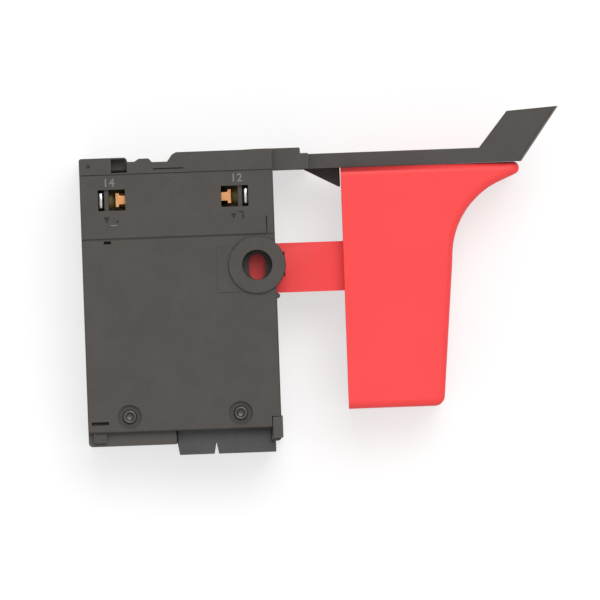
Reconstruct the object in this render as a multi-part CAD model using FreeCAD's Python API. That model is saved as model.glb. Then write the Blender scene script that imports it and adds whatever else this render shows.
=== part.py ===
import FreeCAD, Part
import math
import os
from FreeCAD import Vector

# Power tool trigger switch, in millimetres, lying on its side.
# X runs from the back of the body to the finger side, Y from the wire inlets up to the
# lever, and Z is the thickness. The origin is where the lock socket's axis meets the side
# that the part lies on.

# Body, measured from the lock socket's axis
thickness = 22.0
front_x = 3.9            # axis to the front face
body_depth = 40.5        # front face to back face
seam_y = 6.4             # axis up to the seam between the two housings
body_height = 43.4       # seam down to the underside
wall = 1.8
cover_thick = 2.0
corner_r = 0.9           # outer corners of the housings
edge_break = 0.25        # chamfer round their side faces
cover_rise = 2.9         # underside up to the cover's lower edge
cover_lap = 1.5          # how far the cover rests on the bottom wall
lip_wide = 1.0           # locating lip on the cover's inside
lip_deep = 1.2

# Lock-on socket
boss_r = 6.0
boss_rise = 0.8          # above the cover
socket_r = 3.2
socket_deep = 5.0
pin_slot_r = 1.7         # slot in the socket's floor, down to the stem
pin_slot_long = 5.4
pin_slot_drop = 0.4      # its middle below the axis
panel_long = 2.4         # raised panel, from the boss towards the back
panel_rise = 0.15
nub_r = 0.6

# Rivets
rivet_back_inset = 8.8   # from the back face
rivet_front_inset = 8.4  # from the front face
rivet_up = 6.1           # from the underside
rivet_r = 1.0
rivet_head_r = 1.5
rivet_head_high = 0.6
counterbore_r = 2.5
counterbore_deep = 0.8
post_wall = 1.15

# Latches between the mouldings
hook_wide = 1.8          # corner hook at the front
hook_long = 4.5
hook_foot = 2.4
hook_proud = 0.3         # hook beyond the front face
foot_wide = 2.8          # spring foot at the back of the cover
foot_long = 2.2
foot_thick = 1.0
foot_slot_high = 0.7
foot_inset = 1.1         # back face to the foot
tongue_wide = 4.0        # snap tongues of the reversing housing
tongue_long = 2.9
tongue_thick = 1.0
tongue_inset = 5.4       # back face to the tongue's middle
catch_wide = 1.5
catch_high = 0.6

# Wire inlet block
inlet_long = 19.7
inlet_front_inset = 2.2  # front face back to the block
inlet_thick = 14.8
inlet_up = 10.0          # how far the block reaches into the housing
inlet_floor = 3.1        # underside to the clamps' rooms, which the cover hides
tab_drop = 2.3           # tabs below the underside
tab_back_wide = 7.2
tab_front_wide = 12.0
tab_front_inset = 1.3    # front face back to the front tab
tab_gap = 1.0
notch_deep = 2.7
wire_r = 1.5
wire_back_x = 17.65      # inlet axes, front face back to the wire
wire_front_x = 4.35
clamp_wide = 3.4
clamp_long = 6.4
clamp_thick = 6.0
clamp_sheet = 0.7
clamp_bore_r = 1.2

# Trigger and stem
travel = 10.0
stem_bottom = -6.0
stem_top = 4.4
stem_thick = 9.0
stem_back = 8.0          # axis back to the stem's end
lock_at = 4.5            # press at which the lock button's pin drops into its notch
lock_notch = 2.6
lock_notch_deep = 1.0
press_room = 4.3         # front face to the trigger's back when it is pressed
trigger_high = 50.45
side_inset = 2.0         # body's side faces in to the trigger's
trigger_low_deep = 20.0  # back to front at the lower corner
trigger_deep = 22.8      # back to front where the finger hook starts
hook_arc_r = 17.3
hook_arc_turn = 68.0     # degrees of the finger hook's arc
hook_thick = 3.61        # top down to the arc's end
hook_tip_long = 3.78     # arc's end to the tip
hook_tip_r = 1.2
trigger_corner_r = 2.0
finger_round = 1.6       # long edges of the finger side
core_wall = 2.2
core_deep = 13.0
core_cells = 3

# Lever
pivot_back = 10.0        # axis back to the lever's pivot
swing = 6.5              # degrees to each side of the middle
lever_lift = 0.2         # deck up to the lever's plate
lever_thick = 2.0
arm_lift = 0.0           # hood's underside up to the arm's
arm_drop = 0.25          # arm's underside down to the trigger's top
arm_half = 3.5
arm_end_half = 2.2
disc_r = 5.0
arm_reach = 47.9         # where the tab rises from the arm's top
tab_heel = 8.5           # tab's start to its heel under the arm
tab_low_tip = 6.1        # tab's start to its two upper corners
tab_high_tip = 16.6
tab_low_rise = 7.5       # arm's top up to the same corners
tab_high_rise = 8.15
tab_edge = 0.45
gusset_thick = 1.4
gusset_deep = 4.1
gusset_inset = 0.55      # hood's end to the gusset
gusset_gap = 0.3         # gusset to the trigger's back
shaft_r = 2.45
drive = 2.8
drive_long = 4.4

# Reversing housing
upper_height = 13.6      # seam up to the lid
deck_rise = 0.7
deck_wall = 1.4
skirt = 1.5
window_wide = 5.7
window_high = 4.4
window_back_inset = 6.6
window_front_inset = 8.1
window_up = 8.2          # seam up to the windows' middle
entry_r = 1.3
window_rib = 1.0         # rib between the bright leaf and the copper
window_rib_offset = 1.1  # window's middle to the rib's middle
window_rib_sink = 0.8
slit_wide = 0.25         # dark slit beside the front window
slit_high = 3.8
slit_inset = 1.5         # front face back to the slit

# Top cover
back_block_rise = 3.45
notch_rise = 2.5
notch_long = 1.9
bump_long = 2.0
bump_rise = 3.1
low_rise = 2.3
low_long = 5.1           # bump's end to the plateau's edge
plateau_lead = 6.9       # lever's pivot back to the plateau's edge
lever_cover = 0.2        # lever's top up to the roof's underside
roof_thick = 1.1
ramp_rise = 0.1
ramp_inset = 6.5         # front face back to the ramp
ramp_long = 3.4
roof_reach = 5.9         # front face to the roof's end
cheek_long = 1.7         # cheeks beyond the roof's end
hood_drop = 0.2          # lid down to the hood's underside
cheek = 1.3
latch_wide = 3.3
latch_deep = 2.2
groove_long = 6.3        # thin groove along the lid's side
groove_high = 0.3
groove_lead = 2.1        # plateau's edge to the groove's end
dimple_r = 0.4
dimple_inset = 1.9       # back face to the dimple
mark_deep = 0.4

# Rotor, blades and strips
rotor_r = 3.0
seat_rise = 0.1          # blades' seats beyond the drum
rotor_pin_r = 1.5
rotor_tail = 8.0
tail_half = 1.8
tail_thick = 3.0
blade_reach = 6.0
blade_high = 3.0
blade_gap = 1.4          # blades to the fixed strips with the lever in the middle
strip_thick = 0.6
link_wide = 2.0
leaf_thick = 0.5
leaf_wide = 2.9
leaf_edge = 0.6
leaf_dip = 0.4           # how far the leaf's fold lies below the copper
leaf_offset = 2.1        # window's middle to the bright leaf
head_offset = 0.7        # window's middle to the copper head
head_thick = 0.9
head_high = 3.1
neck_high = 2.0
neck_past = 0.6          # window's edge to the neck's end
terminal_sink = 0.7      # inside of the wall down to the copper

# Inside the main housing
carrier_low = 11.0       # axis down to the carrier's underside
carrier_back = 4.0       # carrier behind the stem's end
carrier_side = 0.3       # carrier's low side beyond the stem's
spring_wire_r = 0.35
spring_r = 2.65
spring_turns = 7
spigot_r = 2.0
spigot_long = 2.0
bridge_long = 9.0
bridge_inset = 2.0       # carrier's end to the bridge
bridge_foot = 1.5
bridge_thick = 0.5
contact_thick = 0.6
contact_wide = 2.5
contact_lead = 1.2       # bridge to the contacts' ends at rest
motor_tail = 4.0         # shelf down to the end of the motor contact's tail
contact_inset = 6.2      # board's back edge to the contacts' ends
wiper_long = 7.0
shelf_thick = 1.7
board_thick = 1.2
board_gap = 0.4
board_inset = 1.4
board_top_gap = 1.6
board_low_gap = 0.7      # rivet post up to the board
part_gap = 0.8           # between the parts of the lower chamber
sink_rise = 9.0
sink_thick = 1.5
triac_share = 0.6        # triac's height, of its heat sink's
leg_share = 0.25
triac_thick = 4.5
capacitor_wide = 9.5
capacitor_share = 0.54   # of the height between shelf and wire inlets
capacitor_thick = 8.5
resistor_r = 1.0
resistor_share = 0.36

# Clearances
seat_gap = 0.1           # between mouldings that locate each other
run_gap = 0.3            # between moving and fixed pieces
slide_gap = 0.15         # under sliding contacts
pin_gap = 0.05           # round the lever's shaft and the rotor's pin
past = 2.0               # how far a cutting shape runs past the face it opens

# Places worked out from the sizes
middle = thickness / 2
back_x = front_x - body_depth
bottom_y = seam_y - body_height
back_in = back_x + wall
front_in = front_x - wall
top_in = seam_y - wall
side_in = thickness - wall
cover_z = thickness - cover_thick
cover_bottom = bottom_y + cover_rise
bottom_in = cover_bottom + cover_lap
stem_low_z = middle - stem_thick / 2
stem_high_z = middle + stem_thick / 2
stem_y = (stem_top + stem_bottom) / 2
boss_bottom = stem_high_z + run_gap
post_r = rivet_r + pin_gap + post_wall
rivet_y = bottom_y + rivet_up
rivet_xs = (back_x + rivet_back_inset, front_x - rivet_front_inset)
pivot_x = -pivot_back
tongue_x = back_x + tongue_inset
tongue_z = cover_z - lip_deep - seat_gap - tongue_thick

# Heights of the upper half, from the lid to the lever and down to the trigger
lid_y = seam_y + upper_height
deck_y = lid_y + deck_rise
deck_in = lid_y - deck_wall
lever_plate_y = deck_y + lever_lift
lever_top = lever_plate_y + lever_thick
roof_step = lever_top + lever_cover
plateau_y = roof_step + roof_thick
hood_under = lid_y - hood_drop
arm_bottom = hood_under + arm_lift
gusset_low = arm_bottom - gusset_deep
trigger_top = arm_bottom - arm_drop
trigger_bottom = trigger_top - trigger_high

# Trigger, hood and the interlock between them
trigger_back = front_x + travel + press_room
trigger_thick = thickness - 2 * side_inset
front_low_x = trigger_back + trigger_low_deep
front_high_x = trigger_back + trigger_deep
hood_half = middle - side_inset
roof_end = front_x + roof_reach
cheek_end = roof_end + cheek_long
arc_end_r = roof_end - pivot_x
plateau_edge = pivot_x - plateau_lead
ramp_x = front_x - ramp_inset
gusset_start = roof_end + gusset_inset
gusset_end = trigger_back - gusset_gap
sweep = math.sin(math.radians(swing))
rib_half = (gusset_start - pivot_x) * sweep - gusset_thick / 2 - run_gap
slot_outer = (gusset_end - pivot_x) * sweep + gusset_thick / 2 + run_gap

# Windows, strips and blades
window_y = seam_y + window_up
window_back = back_x + window_back_inset
window_front = front_x - window_front_inset
strip_offset = rotor_r + seat_rise + leaf_thick + blade_gap
strip_z = middle + strip_offset
neck_end = window_wide / 2 + neck_past
rotor_base = seam_y + 1.6

# Lower chamber
carrier_half = stem_thick / 2 + carrier_side
carrier_front = front_in - run_gap
carrier_end = -stem_back - carrier_back
bridge_back = carrier_end + bridge_inset
shelf_top = -carrier_low - bridge_thick - slide_gap - contact_thick
shelf_low = shelf_top - shelf_thick
contact_front = bridge_back - contact_lead
contact_zs = (middle - contact_wide - 2.0, middle + 1.0)
board_z = wall + board_gap
board_top_z = board_z + board_thick
board_back = back_in + board_inset
board_front = front_in - board_inset
board_low = rivet_y + post_r + board_low_gap
board_high = top_in - board_top_gap
contact_back = board_back + contact_inset
inlet_front = front_x - inlet_front_inset
inlet_back = inlet_front - inlet_long
inlet_top = bottom_y + inlet_up
wire_xs = (front_x - wire_back_x, front_x - wire_front_x)
sink_back = board_back + part_gap
sink_front = inlet_back - part_gap
sink_low = board_low + 0.4
sink_top = shelf_low - part_gap
capacitor_high = (shelf_low - inlet_top) * capacitor_share
resistor_long = (shelf_low - inlet_top) * resistor_share
resistor_gap = (shelf_low - inlet_top - 2 * resistor_long) / 3


def block(x0, x1, y0, y1, z0, z1):
    return Part.makeBox(x1 - x0, y1 - y0, z1 - z0, Vector(x0, y0, z0))


def rod(radius, start, end):
    """Round bar between two points."""
    axis = Vector(*end) - Vector(*start)
    return Part.makeCylinder(radius, axis.Length, Vector(*start), axis)


def prism(points, low, high):
    """Outline in X and Y, raised along Z."""
    wire = Part.makePolygon([Vector(x, y, low) for x, y in points + points[:1]])
    return Part.Face(wire).extrude(Vector(0, 0, high - low))


def plan(points, low, high):
    """Outline in X and Z, raised along Y."""
    wire = Part.makePolygon([Vector(x, low, z) for x, z in points + points[:1]])
    return Part.Face(wire).extrude(Vector(0, high - low, 0))


def mirrored(shape):
    """Same piece on the other side of the middle plane."""
    return shape.mirror(Vector(0, 0, middle), Vector(0, 0, 1))


def swung(shape, degrees):
    """Turned about the lever's pivot, positive towards the upper side face."""
    turned = shape.copy()
    turned.rotate(Vector(pivot_x, 0, middle), Vector(0, -1, 0), degrees)
    return turned


def upright_edges(shape, places, tolerance=0.01):
    """Edges along Z that stand at the given places."""
    found = []
    for edge in shape.Edges:
        ends = [v.Point for v in edge.Vertexes]
        if len(ends) == 2 and (ends[0] - ends[1]).cross(Vector(0, 0, 1)).Length < tolerance:
            if any(math.hypot(ends[0].x - x, ends[0].y - y) < tolerance for x, y in places):
                found.append(edge)
    return found


def level_edges(shape, z):
    """Edges that lie in the plane at height z."""
    return [e for e in shape.Edges if abs(e.BoundBox.ZMin - z) < 0.01 and abs(e.BoundBox.ZMax - z) < 0.01]


def housing_block(x0, x1, y0, y1, z0, z1, broken, rounded=True):
    """Block with a chamfer round the side faces in broken, and free lower corners rounded."""
    box = block(x0, x1, y0, y1, z0, z1)
    if rounded:
        box = box.makeFillet(corner_r, upright_edges(box, [(x0, y0), (x1, y0)]))
    for z in broken:
        box = box.makeChamfer(edge_break, level_edges(box, z))
    return box


def pivot_bore(radius, low, high):
    """Cut for a shaft on the lever's pivot, through a wall from low to high."""
    return rod(radius + pin_gap, (pivot_x, low - past, middle), (pivot_x, high + past, middle))


def rivet_holes(shape):
    for x in rivet_xs:
        shape = shape.cut(rod(rivet_r + pin_gap, (x, rivet_y, -past), (x, rivet_y, thickness + past)))
        for low, high in ((-past, counterbore_deep), (thickness - counterbore_deep, thickness + past)):
            shape = shape.cut(rod(counterbore_r, (x, rivet_y, low), (x, rivet_y, high)))
    return shape


def corner_hook(gap=0.0):
    """Hook of the housing that holds the cover's lower front corner."""
    right = front_x + hook_proud + gap
    low = bottom_y + 0.6
    leg = block(front_x - hook_wide - gap, right, low, low + hook_long + gap, wall, thickness + gap)
    foot = block(front_x - hook_wide - hook_foot, right, low, cover_bottom - 1.6, wall, thickness - 0.8)
    return leg.fuse(foot)


def boss():
    """Raised ring round the lock socket, down to the stem."""
    body = rod(boss_r, (0, 0, boss_bottom), (0, 0, thickness + boss_rise))
    return body.makeChamfer(edge_break, level_edges(body, thickness + boss_rise))


def pin_slot():
    """Slot in the socket's floor that shows the stem."""
    half = pin_slot_long / 2 - pin_slot_r
    low = boss_bottom - past
    cut = block(-pin_slot_r, pin_slot_r, -pin_slot_drop - half, half - pin_slot_drop, low, cover_z)
    for y in (-pin_slot_drop - half, half - pin_slot_drop):
        cut = cut.fuse(rod(pin_slot_r, (0, y, low), (0, y, cover_z)))
    return cut


def main_housing():
    shell = housing_block(back_x, front_x, bottom_y, seam_y, 0, cover_z, (0,))
    shell = shell.cut(block(back_in, front_in, bottom_in, top_in, wall, cover_z + past))
    for x in rivet_xs:
        shell = shell.fuse(rod(post_r, (x, rivet_y, wall / 2), (x, rivet_y, cover_z)))
    shelf = block(contact_back + contact_thick, contact_front - contact_thick, shelf_low, shelf_top,
                  wall / 2, contact_zs[1] + contact_wide)
    shell = shell.fuse(shelf)
    spigot = rod(spigot_r, (back_x + wall / 2, stem_y, middle), (back_in + spigot_long, stem_y, middle))
    shell = shell.fuse(spigot)
    for x in (board_back + 2, contact_front + 4):
        for y in (board_low + 2, board_high - 2):
            shell = shell.fuse(rod(1.0, (x, y, wall / 2), (x, y, board_z)))
    shell = shell.fuse(corner_hook())
    # Way in for the stem, closed from above by the cover's tongue
    shell = shell.cut(block(front_in - past, front_x + past, stem_bottom - run_gap, stem_top + run_gap,
                            stem_low_z - run_gap, cover_z + past))
    shell = shell.cut(rod(boss_r + seat_gap, (0, 0, boss_bottom - seat_gap), (0, 0, cover_z + past)))
    # Openings in the top wall for the rotor's pin, the link strips and the snap tongues
    shell = shell.cut(pivot_bore(rotor_pin_r, top_in, seam_y))
    for x, wide, z, thick in ((pivot_x, link_wide, strip_z, strip_thick),
                              (tongue_x, tongue_wide, tongue_z, tongue_thick)):
        half = wide / 2 + seat_gap
        hole = block(x - half, x + half, top_in - past, seam_y + past, z - seat_gap, z + thick + seat_gap)
        shell = shell.cut(hole).cut(mirrored(hole))
    shell = shell.cut(inlet_way())
    return rivet_holes(shell)


def inlet_way():
    """Opening in the bottom wall that the wire inlet block slides into from the side."""
    low = middle - inlet_thick / 2 - seat_gap
    return block(inlet_back - seat_gap, inlet_front + seat_gap, bottom_y - past, bottom_in + seat_gap,
                 low, cover_z + past)


def main_cover():
    plate = housing_block(back_x, front_x, cover_bottom, seam_y, cover_z, thickness, (thickness,))
    panel = block(-boss_r - panel_long, 0, stem_bottom + 0.5, stem_top - 0.5, cover_z, thickness + panel_rise)
    inset = run_gap - seat_gap
    tongue = block(front_in, front_x, stem_bottom - inset, stem_top + inset,
                   boss_bottom, cover_z + edge_break)
    nub_y = stem_bottom - nub_r
    nub = rod(nub_r, (front_x + 0.1, nub_y, cover_z), (front_x + 0.1, nub_y, thickness - edge_break))
    plate = plate.fuse([panel, tongue, nub, boss()])
    # Locating lip inside the housing's walls
    gap = seat_gap
    outer = block(back_in + gap, front_in - gap, bottom_in + gap, top_in - gap, cover_z - lip_deep, cover_z)
    inner = block(back_in + gap + lip_wide, front_in - gap - lip_wide, bottom_in + gap + lip_wide,
                  top_in - gap - lip_wide, cover_z - lip_deep - past, cover_z + past)
    lip = outer.cut(inner)
    lip = lip.cut(block(inlet_back - run_gap, front_x, bottom_y, bottom_in + inlet_up, 0, cover_z))
    for x in rivet_xs:
        lip = lip.cut(rod(post_r + gap, (x, rivet_y, 0), (x, rivet_y, cover_z)))
    plate = plate.fuse(lip)
    foot_x = back_x + foot_inset
    foot = block(foot_x, foot_x + foot_wide, cover_bottom - foot_long, cover_bottom + 0.5,
                 cover_z, cover_z + foot_thick)
    plate = plate.fuse(foot)
    slot_y = cover_bottom + 1.6
    slot = block(foot_x - 0.3, foot_x + foot_wide + 0.5, slot_y, slot_y + foot_slot_high,
                 cover_z + 0.8, thickness + past)
    catch_y = seam_y - 1.0
    catch = block(tongue_x - catch_wide / 2, tongue_x + catch_wide / 2, catch_y, catch_y + catch_high,
                  cover_z - past, thickness + past)
    plate = plate.cut(slot).cut(catch)
    mouth = thickness + boss_rise
    plate = plate.cut(rod(socket_r, (0, 0, mouth - socket_deep), (0, 0, mouth + past))).cut(pin_slot())
    plate = plate.cut(corner_hook(seat_gap))
    return rivet_holes(plate)


def cover_rivets():
    """Both rivets, each headed at both ends."""
    solids = []
    for x in rivet_xs:
        low = counterbore_deep
        high = thickness - counterbore_deep
        shank = rod(rivet_r, (x, rivet_y, low), (x, rivet_y, high))
        upper = rod(rivet_head_r, (x, rivet_y, high), (x, rivet_y, high + rivet_head_high))
        lower = rod(rivet_head_r, (x, rivet_y, low - rivet_head_high), (x, rivet_y, low))
        solids.append(shank.fuse([upper, lower]).removeSplitter())
    return Part.makeCompound(solids)


def wire_inlet_block():
    low = middle - inlet_thick / 2
    high = middle + inlet_thick / 2
    body = block(inlet_back, inlet_front, bottom_y, inlet_top, low, high)
    front = front_x - tab_front_inset
    tip = bottom_y - tab_drop
    a = front - tab_front_wide
    b = a - tab_gap
    outline = [(b - tab_back_wide, tip), (b, tip), ((a + b) / 2, tip + notch_deep), (a, tip), (front, tip),
               (front, bottom_y), (inlet_front, bottom_y), (inlet_front, bottom_y + 0.5),
               (inlet_back, bottom_y + 0.5), (inlet_back, bottom_y)]
    body = body.fuse(prism(outline, low, high)).removeSplitter()
    body = body.cut(rod(post_r + seat_gap, (rivet_xs[1], rivet_y, 0), (rivet_xs[1], rivet_y, thickness)))
    for x in wire_xs:
        body = body.cut(rod(wire_r, (x, tip - past, middle), (x, bottom_y + inlet_floor, middle)))
        body = body.cut(clamp_room(x, seat_gap, high + past))
    return body


def clamp_room(x, gap, high):
    base = bottom_y + inlet_floor
    half = clamp_wide / 2 + gap
    low = middle - clamp_thick / 2 - gap
    return block(x - half, x + half, base - gap, base + clamp_long + gap, low, high)


def line_clamp(x):
    """Folded brass cage, open at its side, with the wire's hole in its lower end."""
    cage = clamp_room(x, 0, middle + clamp_thick / 2)
    base = bottom_y + inlet_floor
    half = clamp_wide / 2 - clamp_sheet
    cage = cage.cut(block(x - half, x + half, base + clamp_sheet, base + clamp_long - clamp_sheet,
                          middle - clamp_thick, middle + clamp_thick))
    return cage.cut(rod(clamp_bore_r, (x, base - past, middle), (x, base + past, middle)))


def line_spring(x):
    """Bent leaf inside the cage that bites on the wire."""
    base = bottom_y + inlet_floor + clamp_sheet
    left = x - clamp_wide / 2 + clamp_sheet
    top = base + clamp_long - 2 * clamp_sheet
    leaf = 0.35
    outline = [(left, top), (left, base + 1.0), (left + leaf, base + 1.0), (left + leaf, top - leaf),
               (left + 1.3, base + 2.6), (left + 1.6, base + 2.9), (left + leaf + 0.3, top)]
    return prism(outline, middle - 1.2, middle + 1.2)


def trigger_outline():
    """Side outline: straight back and top, tapered front and a hooked finger tip."""
    rise = hook_arc_r * math.sin(math.radians(hook_arc_turn))
    centre = Vector(front_high_x + hook_arc_r, trigger_top - hook_thick - rise, 0)

    def on_arc(turn, radius=hook_arc_r):
        angle = math.radians(180 - turn)
        return centre + Vector(radius * math.cos(angle), radius * math.sin(angle), 0)

    start = on_arc(0)
    end = on_arc(hook_arc_turn)
    tip_centre = Vector(end.x + hook_tip_long - hook_tip_r, trigger_top - hook_tip_r, 0)
    under = tip_centre + Vector(0.35 * hook_tip_r, -0.94 * hook_tip_r, 0)
    low_front = Vector(front_low_x, trigger_bottom, 0)
    slope = (start - low_front).normalize()
    corner = trigger_corner_r
    corner_start = low_front - Vector(corner, 0, 0)
    corner_end = low_front + slope * corner
    corner_mid = low_front + (Vector(-1, 0, 0) + slope) * (corner * 0.29)
    back_top = Vector(trigger_back, trigger_top, 0)
    back_low = Vector(trigger_back, trigger_bottom, 0)
    edges = [Part.LineSegment(back_top, back_low), Part.LineSegment(back_low, corner_start),
             Part.Arc(corner_start, corner_mid, corner_end), Part.LineSegment(corner_end, start),
             Part.Arc(start, on_arc(hook_arc_turn / 2), end), Part.LineSegment(end, under),
             Part.Arc(under, tip_centre + Vector(hook_tip_r, 0, 0), tip_centre + Vector(0, hook_tip_r, 0)),
             Part.LineSegment(tip_centre + Vector(0, hook_tip_r, 0), back_top)]
    return Part.Wire([e.toShape() for e in edges])


def trigger():
    low = middle - trigger_thick / 2
    high = middle + trigger_thick / 2
    wire = trigger_outline()
    wire.translate(Vector(0, 0, low))
    body = Part.Face(wire).extrude(Vector(0, 0, trigger_thick))
    finger = [e for e in body.Edges
              if e.BoundBox.ZLength < 0.01 and e.BoundBox.XMin > front_low_x - trigger_corner_r - 0.5]
    body = body.makeFillet(finger_round, finger)
    # Cored from the back, with ribs between the cells and a web down the middle
    bottom = trigger_bottom + core_wall
    cell = (stem_bottom - core_wall - bottom - (core_cells - 1) * core_wall) / core_cells
    cells = [(bottom + k * (cell + core_wall), cell) for k in range(core_cells)]
    cells.append((stem_top + core_wall, gusset_low - stem_top - 2 * core_wall))
    for y, high_cell in cells:
        for z0, z1 in ((low + core_wall, middle - core_wall / 2), (middle + core_wall / 2, high - core_wall)):
            body = body.cut(block(trigger_back - past, trigger_back + core_deep, y, y + high_cell, z0, z1))
    stem = block(-stem_back, trigger_back + 1.0, stem_bottom, stem_top, stem_low_z, stem_high_z)
    body = body.fuse(stem).removeSplitter()
    notch = block(lock_at - lock_notch / 2, lock_at + lock_notch / 2, -lock_notch, lock_notch,
                  stem_high_z - lock_notch_deep, stem_high_z + past)
    body = body.cut(notch)
    # Interlock slots, which let the lever's gusset in at both ends of its swing
    for side in (-1, 1):
        z0, z1 = sorted((middle + side * rib_half, middle + side * slot_outer))
        body = body.cut(block(trigger_back - past, trigger_back + travel + run_gap, gusset_low - run_gap,
                              trigger_top + past, z0, z1))
    return body


def contact_carrier():
    low = middle - carrier_half
    foot = block(carrier_end, carrier_front, -carrier_low, stem_bottom, low, stem_high_z)
    riser = block(carrier_end, -stem_back, stem_bottom, stem_top - 0.2, low, stem_high_z)
    spigot = rod(spigot_r, (carrier_end - spigot_long, stem_y, middle), (carrier_end + 1, stem_y, middle))
    return foot.fuse([riser, spigot]).removeSplitter()


def contact_bridge():
    """Copper strip under the carrier, with a wiping foot over each fixed contact."""
    top = -carrier_low
    front = bridge_back + bridge_long
    strip = block(bridge_back, front, top - bridge_thick, top, contact_zs[0], contact_zs[1] + contact_wide)
    slot = block(bridge_back + bridge_foot, front - bridge_foot, top - past, top + past,
                 contact_zs[0] + contact_wide, contact_zs[1])
    return strip.cut(slot)


def fixed_contact(z, tail_x, tail_low):
    strip = block(contact_back, contact_front, shelf_top, shelf_top + contact_thick, z, z + contact_wide)
    tail = block(tail_x, tail_x + contact_thick, tail_low, shelf_top + contact_thick, z, z + contact_wide)
    return strip.fuse(tail).removeSplitter()


def return_spring():
    start = back_in + spring_wire_r + 0.05
    length = carrier_end - back_in - 2 * (spring_wire_r + 0.05)
    pitch = length / spring_turns
    helix = Part.makeHelix(pitch, length, spring_r)
    section = Part.makeCircle(spring_wire_r, Vector(spring_r, 0, 0), Vector(0, 1, 0))
    coil = Part.Wire(helix).makePipeShell([Part.Wire([section])], True, True)
    coil.rotate(Vector(0, 0, 0), Vector(0, 1, 0), 90)
    coil.translate(Vector(start, stem_y, middle))
    return coil


def wiper():
    """Leaf on the carrier's flat side, its foot just over the speed track."""
    top = middle - carrier_half
    x = carrier_end + 1.0
    foot = board_top_z + slide_gap
    flat = x + wiper_long * 0.4
    end = x + wiper_long
    sheet = 0.35
    outline = [(x, top), (x, top - sheet), (flat, top - sheet), (end - 1.5, foot + 0.2), (end - 1.0, foot),
               (end, foot), (end - 0.6, foot + sheet), (end - 1.1, foot + sheet + 0.2), (flat + sheet, top)]
    return plan(outline, stem_bottom - 1.0, stem_bottom + 3.0)


def circuit_board():
    """Board against the housing's floor, with a hole for the shelf."""
    board = block(board_back, board_front, board_low, board_high, board_z, board_top_z)
    return board.cut(block(contact_back - run_gap, contact_front + run_gap, shelf_low - run_gap,
                           shelf_top + run_gap, 0, thickness))


def heat_sink():
    """Folded plate in the corner between the back wall and the wire inlets."""
    plate = block(sink_back, sink_front, sink_low, sink_top, board_top_z, board_top_z + sink_thick)
    fold = block(sink_back, sink_back + sink_thick, sink_low, sink_top, board_top_z, board_top_z + sink_rise)
    return plate.fuse(fold).removeSplitter()


def triac():
    """Flat package on the heat sink, with three legs."""
    x0 = sink_back + sink_thick + part_gap
    x1 = sink_front - part_gap
    sink_high = sink_top - sink_low
    y1 = sink_top - part_gap / 2
    y0 = y1 - sink_high * triac_share
    leg_low = y0 - sink_high * leg_share
    z = board_top_z + sink_thick
    body = block(x0, x1, y0, y1, z, z + triac_thick)
    body = body.makeChamfer(0.5, level_edges(body, z + triac_thick))
    for k in (-1, 0, 1):
        x = (x0 + x1) / 2 + k * (x1 - x0) / 4
        body = body.fuse(block(x - 0.4, x + 0.4, leg_low, y0 + 0.5, z + 0.8, z + 1.3))
    return body


def capacitor():
    x = contact_front + 1.8
    y = shelf_low - 1.0
    top = board_top_z + capacitor_thick
    body = block(x, x + capacitor_wide, y - capacitor_high, y, board_top_z, top)
    return body.makeFillet(0.6, level_edges(body, top))


def resistors():
    """Two resistors end to end beside the capacitor."""
    x = contact_front - contact_thick - resistor_r - part_gap
    z = board_top_z + resistor_r
    solids = []
    for k in range(2):
        y = shelf_low - resistor_gap - k * (resistor_long + resistor_gap)
        body = rod(resistor_r, (x, y - resistor_long, z), (x, y, z))
        solids.append(body.makeFillet(0.35, body.Edges[:1] + body.Edges[2:3]))
    return Part.makeCompound(solids)


def reverse_housing():
    """Upper moulding, open below, with windows and wire holes on both sides."""
    shell = housing_block(back_x, front_x, seam_y, lid_y, 0, thickness, (0, thickness), rounded=False)
    shell = shell.cut(block(back_in, front_in, seam_y - past, deck_in, wall, side_in))
    deck = block(back_x + skirt, front_x - skirt, lid_y - 0.5, deck_y, skirt, thickness - skirt)
    half = hood_half - cheek - seat_gap
    shelf = block(front_x - wall, roof_end + past, hood_under, deck_y, middle - half, middle + half)
    shelf = shelf.common(pivot_bore(arc_end_r - pin_gap, hood_under, deck_y))
    shell = shell.fuse([deck, shelf])
    shell = shell.cut(pivot_bore(shaft_r, deck_in, deck_y))
    pieces = [detent_post(), *snap_tongue()]
    for x, inward in ((window_back, 1), (window_front, -1)):
        rib_x = x - inward * window_rib_offset
        pieces.append(block(rib_x - window_rib / 2, rib_x + window_rib / 2, window_y - window_high / 2 - 0.5,
                            window_y + window_high / 2 + 0.5, strip_z + leaf_thick, side_in + 0.2))
    for x0, x1 in rib_places():
        pieces.append(block(x0, x1, window_y - head_high / 2, window_y + head_high / 2,
                            strip_z + strip_thick, side_in + wall / 2))
    shell = shell.fuse(pieces + [mirrored(p) for p in pieces])
    for cut in window_cuts():
        shell = shell.cut(cut).cut(mirrored(cut))
    return shell.removeSplitter()


def detent_post():
    """Slotted post that holds one end of the detent spring."""
    x = detent_leaf_x()
    high = rotor_base + tail_thick + 1.2
    post = block(x - 1.2, x + leaf_thick + 1.2, rotor_base, high, strip_z - 1.4, side_in + wall / 2)
    return post.cut(block(x - pin_gap, x + leaf_thick + pin_gap, seam_y, lid_y, strip_z - past, strip_z))


def snap_tongue():
    """Tongue that snaps into the main housing, and its root on the side wall."""
    x0 = tongue_x - tongue_wide / 2
    x1 = tongue_x + tongue_wide / 2
    tongue = block(x0, x1, seam_y - tongue_long, seam_y + 1.0, tongue_z, tongue_z + tongue_thick)
    root = block(x0, x1, seam_y + 0.2, seam_y + 2.2, tongue_z, side_in + wall / 2)
    return tongue, root


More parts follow.
